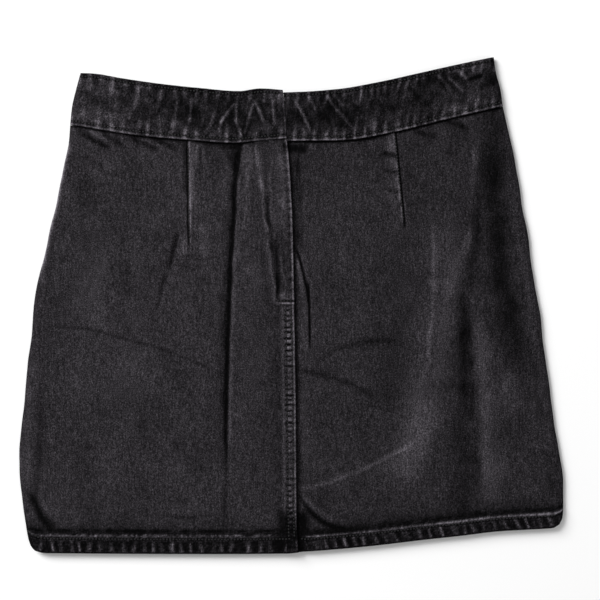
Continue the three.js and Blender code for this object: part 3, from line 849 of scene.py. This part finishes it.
# %% The lap over the zip and the felled seam
# The felled seam's two rows of stitching, from the lap's edge, and the bar's raised edge and groove, in y.
OUTER_ROW, INNER_ROW = 2.4, 7.2
BAR_EDGE, BAR_GROOVE = 1.9, 4.0


def lap_rise(x, down, lap):
    """The lap steps up softly over the zip's facing, and short and firm along the felled seam."""
    over_zip, along_seam = ease(lap - 7, lap + 3, x), ease(lap - 4, lap + 1.5, x)
    share = ease(BAR_TOP, BAR_FOOT, down)
    return over_zip * (1 - share) + along_seam * share


def facing_relief(x, y, down, lap):
    """Over the zip the facing's edge shows as a wavering ridge, with hollows on its right lower down."""
    inward = x - lap - crinkle(0 * y, y, 16, 2.4, 5.5)
    patchy = 0.75 + crinkle(0 * y, y, 11, 0.9, 8.1)
    ridge = 0.6 * bell(inward - 0.5, 1.4) * patchy
    hollow = -0.9 * bell(inward - 3.4, 2.4) * patchy * ease(-96, -70, -y)
    streak = 0.3 * bell(inward - 9.5, 1.3) * ease(-60, -40, -y) * ease(8, 22, y)
    return (ridge + hollow + streak) * (1 - ease(FACING_END, BAR_TOP, down))


def felled_relief(y, down, to_edge):
    """The stitched strip along the centre back: grooves under its two rows and ladder-like puckers."""
    uneven = 0.8 + crinkle(0 * y, y, 19, 0.9, 2.6)
    ladder = puckers(y, np.abs(to_edge - 5.6), (-210, 2), 4.5, -0.85, 3.2, 0.1, 31, narrow=0.15) * uneven
    near_edge = puckers(y, np.abs(to_edge - 2.5), (-210, 144), 8, -0.25, 2.0, 0, 33, narrow=0.15)
    grooves = 0.3 * bell(to_edge - INNER_ROW, 0.7) + 0.2 * bell(to_edge - OUTER_ROW, 0.6)
    lip = 0.2 * bell(to_edge - 0.9, 0.9)
    strip = ease(BAR_FOOT, FELLED_TOP, down) * ease(-0.5, 1.5, 10 - to_edge)
    return (ladder - grooves) * strip + near_edge + lip


def bar_relief(y, to_edge):
    """The bar that ends the zip: a dark groove over a thin raised edge."""
    across = 1 - ease(14, 15.5, to_edge)
    return across * (0.5 * bell(y - BAR_EDGE, 0.8) - 0.6 * bell(y - BAR_GROOVE, 0.9))


# %% The left back panel
down = LEFT_DOWN
side, dart, fold = line("left", down), dart_line("left", down), line("fold", down)
lap, back = line("lap", down), line("back", down)
guides = [side + SIDE_TURN, dart - 2, dart + 2, fold - 7, fold + 5, lap - RAMP, lap, back - 1.2, back]
x, angles = with_side(spread(guides, [68, 4, 22, 13, 16, 3, 18, 2]), side, 1)
y = rows_of(x, down, seam_left, hem_edge, SEAM_GAP)
hem = on_hem(x, y)
on_lap = lap_rise(x, down, lap)
to_edge = back - x
tucked = seam_relief(x, y, seam_left, 11) * (1 - 0.8 * on_lap)
flat_top = clear_of_front(panel_top(x, y, down) + tucked, x, y)
sewn = facing_relief(x, y, down, lap) + felled_relief(y, down, to_edge) + bar_relief(y, to_edge)
rope = hem_relief(x, y, 5, -0.05) * hem
sewn = np.maximum(sewn * (1 - 0.6 * hem), THINNEST - LAP_CLOTH)
top = flat_top * (1 - hem) + HEM_HEIGHT * hem + rope + LAP_RISE * on_lap + sewn
z = roll_down(top, angles, halfway(hem))
wall = (CLOTH + (HEM_CLOTH - CLOTH) * hem) * (1 - on_lap) + LAP_CLOTH * on_lap
wall = wall_of(wall, rope + sewn * on_lap, angles)
lap_edge = (0.26 - 0.14 * ease(0.4, 0.42, down)) * bell(to_edge - 0.5, 0.8)
strip_edge = 0.16 * bell(to_edge - 8.9, 1.3) * ease(BAR_FOOT, FELLED_TOP, down)
# Painted highlight along the left side, where the rolled cloth faces the lamp; it is rubbed pale there as
# well.
lit_side_rim = 0.42 * bell(x - side, 1.9) * ease(0.02, 0.06, down) * (1 - ease(0.3, 0.4, down))
# Rubbed edges, with the painted light and shade of the table, the hem and the dart, and the painted shadow
# under the waistband.
shade = lap_edge + creases(PAINTED_LIGHT_SHADE_AND_WASH, x, y) * (1 - 0.5 * hem) + hem_shade(x, y, hem)
shade = shade + lit_side_rim - strip_edge + dart_shade("left", x, down) + seam_shade(x, y, seam_left)
busy = np.maximum(hem, ease(12, 9, to_edge))
wear_and_shade = worn_and_shaded(top, 0.4 + 1.0 * busy, 0.5 + 0.7 * busy, shade, speckle=0.09 * hem)
panel_left, area = sheet("back_panel_left_cloth", "back_panel_left", x, y, z, wear_and_shade, wall)

# %% The right back panel
down = RIGHT_DOWN
back, side, dart = line("back", down), line("right", down), dart_line("right", down)
guides = [back - UNDERLAP, back, back + 24, dart - 2, dart + 2, side - SIDE_TURN]
x, angles = with_side(spread(guides, [6, 36, 50, 4, 94]), side, -1)
y = rows_of(x, down, seam_right, hem_edge, SEAM_GAP)
hem = on_hem(x, y)
near = 1 - ease(1, 12, x - back)
shown = ease(-0.5, 3, x - back)
rope = hem_relief(x, y, 9, -0.35) * hem * shown
flat_top = clear_of_front(panel_top(x, y, down) + seam_relief(x, y, seam_right, 17) * shown, x, y)
top = flat_top * (1 - hem) + HEM_HEIGHT * hem + rope - UNDERLAP_DIP * near
z = roll_down(top, angles, halfway(hem))
wall = wall_of(CLOTH + (HEM_CLOTH - CLOTH) * hem * (1 - near), rope, angles)
# Painted shadow of the lap along the centre back edge, with the painted light and shade of the table, the
# dart, the hem and the painted shadow under the waistband.
shade = creases(PAINTED_LIGHT_SHADE_AND_WASH, x, y) * (1 - 0.5 * hem) - 0.2 * bell(x - back, 3)
shade = shade + right_shade(x) + dart_shade("right", x, down) + hem_shade(x, y, hem) + 0.06 * hem
shade = shade + seam_shade(x, y, seam_right)
wear_and_shade = worn_and_shaded(top, 0.4 + 1.0 * hem, 0.5 + 0.7 * hem, shade, speckle=0.09 * hem)
panel_right, area = sheet("back_panel_right_cloth", "back_panel_right", x, y, z, wear_and_shade, wall)

# %% [markdown]
# ## The front panel
#
# The front lies underneath, so all that shows here is its rolled side and its hem. Its outer face rests on
# the floor and stays flat. It is the same kind of sheet, turned face down, and its hem is only worn and given
# painted shade, not raised, because every ridge would lift the skirt off the floor.

# %% The front panel
x, angles = with_both_sides(line("left", FRONT_DOWN), line("right", FRONT_DOWN), 150)
y = rows_of(x, FRONT_DOWN, front_seam, hem_edge, SEAM_GAP)
hem = on_hem(x, y)
z = roll_down(np.zeros_like(x), angles, halfway(hem), -1)
wall = wall_of(CLOTH + (HEM_CLOTH - CLOTH) * hem, 0, angles)
marks = hem_relief(x, y, 13, 0.2) * hem
# Rub here is a faint unevenness plus the painted shade of the hem and the painted shadow under the waistband.
rub = crinkle(x, y, 20, 0.1, 2.2) + hem_shade(x, y, hem) + seam_shade(x, y, front_seam)
wear_and_shade = worn_and_shaded(marks, 1.2, 1.0, rub, speckle=0.06 * hem)
front, area = sheet("front_panel_cloth", "front_panel", x, y, z, wear_and_shade, wall, face_down=True)

# %% [markdown]
# ## The waistband
#
# A waistband is a long strip folded over the top of the skirt and stitched along both edges. Between the
# two rows of stitching the cloth swells and puckers, and its lower edge stands up like a cord and is
# rubbed pale. Near the zip it has been creased in use: zigzag marks on the left, slanting ones on the right.

# %% Band relief
BAND_CREASES = (
    (-98, 183, -104, 150, 0, 1.6, 2.0, 0.3),
    (-113, 190, -116, 170, 0, 1.6, 2.0, 0.25),
    (-86.6, 186, -89.3, 155, 0, 1.3, 1.6, 0.4),
    (-66, 173, -76, 148, 2, 1.6, 1.6, 0.3),
    (-48, 178, -63, 157, 0, 1.3, 1.7, 0.45),
    (-60, 164, -64, 147, 0, 1.2, 1.6, 0.35),
    (-48, 178, -48, 156, 0, 1.2, 1.6, 0.4),
    (-50, 164, -42, 144, 0, 1.4, 1.2, 0.45),
    (-42, 146, -31, 179, 0, 1.4, 1.4, 0.5),
    (-32, 179, -22, 156, 0, 1.4, 1.5, 0.45),
    (-16, 181, -13, 155, -1, 1.3, 1.8, 0.5),
    (-80, 178, -76, 158, 0, 1.4, 1.8, 0.25),
    (-132, 190, -136, 168, 0, 1.8, 1.8, 0.25),
    (-150, 190, -154, 170, 0, 2, 2, 0.22),
    (-22, 190, -24, 174, 0, 1.4, 1.6, 0.4),
    (2, 180, 18, 147, 1, 1.4, 1.4, 0.5),
    (14, 184, 22, 168, 0, 1.4, 1.6, 0.35),
    (30, 184, 42, 167, 0, 1.4, 1.6, 0.45),
    (40, 170, 55, 152, 0, 1.4, 1.6, 0.4),
    (38, 184, 46, 172, 0, 1.4, 1.6, 0.25),
    (98, 192, 112, 176, 2, 3, 3, -0.35),
    (124, 202, 140, 184, 1, 1.6, 2, 0.35),
    (133, 200, 152, 183, 1, 1.4, 2, 0.3),
    (142, 206, 156, 192, 1, 1.6, 2, 0.4),
    (150, 194, 168, 200, 1, 2, 2, -0.45),
    (66, 178, 96, 168, 2, 4, 5, -0.25),
)
# The waistband's rows of stitching, above its lower edge and below its upper one.
BAND_STITCH, TOP_STITCH = 3.4, 2.9


def band_relief(x, y, to_top, to_bottom, seed, pitch):
    """The relief of the band: cord-like lower edge, stitched grooves, puckers between them."""
    below, above = to_bottom - BAND_STITCH, to_top - TOP_STITCH
    top = creases(BAND_CREASES, x, y)
    top += 0.35 * bell(to_bottom - 0.7, 0.75) - 0.5 * bell(below, 0.7)
    top += 0.2 * bell(to_top - 1.2, 1.0) - 0.5 * bell(above, 0.8)
    top += puckers(x, np.abs(below), BAND_SPAN, pitch + 1, 0.55, 9, 0.1, seed, narrow=0.16)
    top += puckers(x, np.abs(above), BAND_SPAN, pitch, 0.6, 9, -0.1, seed + 1, narrow=0.18)
    top += puckers(x, np.abs(above), BAND_SPAN, 26, -0.35, 12, -0.2, seed + 2, narrow=0.15)
    return top + crinkle(x, y, 9, 0.2, seed * 0.37) + crinkle(x, y, 26, 0.4, seed * 0.11)


def band(name, replaced, x, angles, waist, seam, seed, pitch, facing=1):
    """One piece of the waistband, from its columns."""
    y = rows_of(x, BAND_ROWS_DOWN, waist, seam)
    to_top, to_bottom = y[:1] - y, y - y[-1:]
    from_back = x - band_back
    marks = band_relief(x, y, to_top, to_bottom, seed, pitch)
    relief = marks if facing > 0 else np.zeros_like(x)
    top = BAND_HEIGHT + zip_rise(from_back) + relief if facing > 0 else relief
    z = roll_down(top, angles, BAND_HEIGHT / 2, facing)
    rubbed = 0.17 + 0.09 * ease(-20, 20, x) + crinkle(x, 0 * y, 11, 0.36, 2.9)
    # Darker along the top edge, by more on the left.
    top_edge_darkening = 0.32 - 0.2 * ease(-20, 40, x)
    lip = rubbed * bell(to_bottom - 0.4, 0.62) - top_edge_darkening * bell(to_top, 1.7)
    end = 0.3 * bell(from_back + 0.5, 0.8) * (from_back < 0)
    patches = crinkle(x, y, 7, 0.16, seed * 0.2) + crinkle(x, y, 21, 0.22, seed * 0.3)
    middle = 0.05 * bell(to_bottom - 8, 5) - 0.1 * bell(to_bottom - 24, 9)
    rows = 0.22 * bell(to_bottom - BAND_STITCH, 0.8) + 0.03 * bell(to_top - TOP_STITCH, 0.8)
    # The band's crease marks: pale along their rubbed ridges, and painted shade along their troughs.
    lines = 0.22 * creases(BAND_CREASES, x, y)
    tone = 0.12 * ease(80, 180, -x) + 0.12 * bell(from_back + 7, 7) * (from_back < 0) - 0.14
    tone = tone + 0.08 * ease(120, 170, x)
    wear_and_shade = worn_and_shaded(marks, 0.9, 1.1, lip + end + patches + middle + rows + lines + tone, reach=3, speckle=0.07)
    wall = wall_of(np.full(x.shape, BAND_CLOTH), relief, angles)
    return sheet(name, replaced, x, y, z, wear_and_shade, wall, face_down=facing < 0)


# %% The three pieces of the band
BAND_ROWS_DOWN = np.linspace(0, 1, 52)[:, None]
left_side, right_side = band_line("left", BAND_ROWS_DOWN), band_line("right", BAND_ROWS_DOWN)
band_back = band_line("back", BAND_ROWS_DOWN)
x, angles = with_side(spread([left_side + SIDE_TURN, band_back], [196]), left_side, 1)
band_left, area = band("waistband_left_cloth", "waistband_back_left", x, angles,
                       waist_left, seam_left, 41, 9.6)
x, angles = with_side(spread([band_back + 2 * SEAM_GAP, right_side - SIDE_TURN], [196]), right_side, -1)
band_right, area = band("waistband_right_cloth", "waistband_back_right", x, angles,
                        waist_right, seam_right, 43, 7.2)
x, angles = with_both_sides(left_side, right_side, 180)
band_front, area = band("waistband_front_cloth", "waistband_front", x, angles,
                        front_waist, front_seam, 47, 9, facing=-1)

# %% [markdown]
# ## Topstitching
#
# The seams are sewn in black thread. One stitch is modelled from a small sphere, drawn out along the seam,
# and every row repeats it at its real pitch. The rows are laid on the finished cloth by dropping each
# stitch from above until it meets the surface.

# %% One stitch and its rows
STITCH, PITCH = 1.75, 2.8
THREAD_WIDTH, THREAD_HEIGHT = 1.15, 0.6
# The middle of a stitch lies this far above the cloth, so its lower part is sunk in.
THREAD_LIFT = 0.12
bpy.ops.mesh.primitive_uv_sphere_add(segments=6, ring_count=5, radius=MM)
stitch = bpy.context.object
stitch.name = "one_stitch"
bpy.ops.object.mode_set(mode="EDIT")
bpy.ops.transform.rotate(value=math.pi / 2, orient_axis="Y", center_override=(0, 0, 0))
bpy.ops.transform.resize(value=(STITCH / 2, THREAD_WIDTH / 2, THREAD_HEIGHT / 2))
bpy.ops.object.mode_set(mode="OBJECT")
bpy.ops.object.shade_smooth()
stitch.data.materials.append(THREAD)


def resampled(points, step):
    """Points at even steps along a polyline."""
    lengths = np.concatenate([[0], np.cumsum(np.linalg.norm(np.diff(points, axis=0), axis=1))])
    places = np.arange(step / 2, lengths[-1], step)
    return np.column_stack([np.interp(places, lengths, points[:, k]) for k in (0, 1)])


def height_at(cloths, x, y):
    """The highest point of the cloths above a place, in mm, or None."""
    found = []
    for cloth in cloths:
        hit, place, _, _ = cloth.ray_cast(Vector((x * MM, y * MM, 0.05)), Vector((0, 0, -1)))
        if hit:
            found.append(place.z / MM)
    return max(found, default=None)


def stitch_places(points, cloths):
    """Where each stitch of a row goes: along a line of points, and leaning as the cloth does."""
    row = []
    reach = STITCH * 0.4
    centres = resampled(np.asarray(points), PITCH)
    for k, (cx, cy) in enumerate(centres):
        ahead = centres[min(k + 1, len(centres) - 1)] - centres[max(k - 1, 0)]
        ahead = ahead / np.linalg.norm(ahead)
        ends = [height_at(cloths, cx + s * reach * ahead[0], cy + s * reach * ahead[1]) for s in (-1, 1)]
        if None in ends:
            continue
        tilt = (ends[1] - ends[0]) / (2 * reach)
        lengthwise = Vector((ahead[0], ahead[1], tilt)).normalized()
        aside = Vector((-ahead[1], ahead[0], 0))
        turned = Matrix((lengthwise, aside, lengthwise.cross(aside))).transposed().to_4x4()
        centre = Vector((cx, cy, sum(ends) / 2 + THREAD_LIFT)) * MM
        row.append(Matrix.Translation(centre) @ turned)
    return row


def sew(name, rows, cloths):
    """Copies the stitch along several rows, and joins the copies into one piece."""
    places = [place for points in rows for place in stitch_places(points, cloths)]
    bpy.ops.object.select_all(action="DESELECT")
    for place in places:
        copy = stitch.copy()
        copy.data = stitch.data.copy()
        copy.data.transform(place)
        bpy.context.collection.objects.link(copy)
        copy.select_set(True)
    bpy.context.view_layer.objects.active = copy
    bpy.ops.object.join()
    copy.name = copy.data.name = name
    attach(copy, "root")
    print(name, len(places), "stitches")
    return copy


# %% Rows along the waistband and the hem
def offset_row(edge_line, start, end, shift=0):
    """A row from x start to x end, shifted up from an edge."""
    across = np.arange(start, end, 4)
    return np.column_stack([across, edge_line(across) + shift])


back_cloths = [panel_left, panel_right]
band_cloths = [band_left, band_right]
sew("waist_edge_stitching", [
    offset_row(waist_left, -183, -8.5, -TOP_STITCH),
    offset_row(waist_right, -5, 176, -TOP_STITCH),
], band_cloths)
sew("waistband_seam_stitching", [
    offset_row(seam_left, -191, -5, BAND_STITCH),
    offset_row(seam_right, -2, 183, BAND_STITCH),
], band_cloths)
sew("hem_stitching", [
    offset_row(hem_seam, -228, 3),
    offset_row(hem_seam, 8, 235),
], back_cloths)


# %% Rows along the centre back, the bar and the darts
def down_row(start, end, place, seam):
    """A row down a panel: place gives x for each share of the way down."""
    shares = np.arange(start, end, 0.01)
    across = place(shares)
    top, bottom = seam(across), hem_edge(across)
    return np.column_stack([across, top + (bottom - top) * shares])


sew("centre_back_stitching", [
    down_row(0.41, 0.962, lambda d: line("back", d) - OUTER_ROW, seam_left),
    down_row(0.41, 0.962, lambda d: line("back", d) - INNER_ROW, seam_left),
    [(-13, BAR_GROOVE), (2, BAR_GROOVE - 0.2)],
], back_cloths)
sew("dart_stitching", [
    down_row(0.01, 0.25, lambda d: dart_line("left", d) + 0.2, seam_left),
    down_row(0.01, 0.23, lambda d: dart_line("right", d) - 0.2, seam_right),
], back_cloths)

bpy.data.objects.remove(stitch)

# %% [markdown]
# ## The zip
#
# The zip is closed and hidden under the lap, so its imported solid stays, and only its finish is made here: a
# dyed, woven tape.

# %% Zip
zip_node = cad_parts["zip"]
zip_node.data.materials.clear()
zip_node.data.materials.append(TAPE)
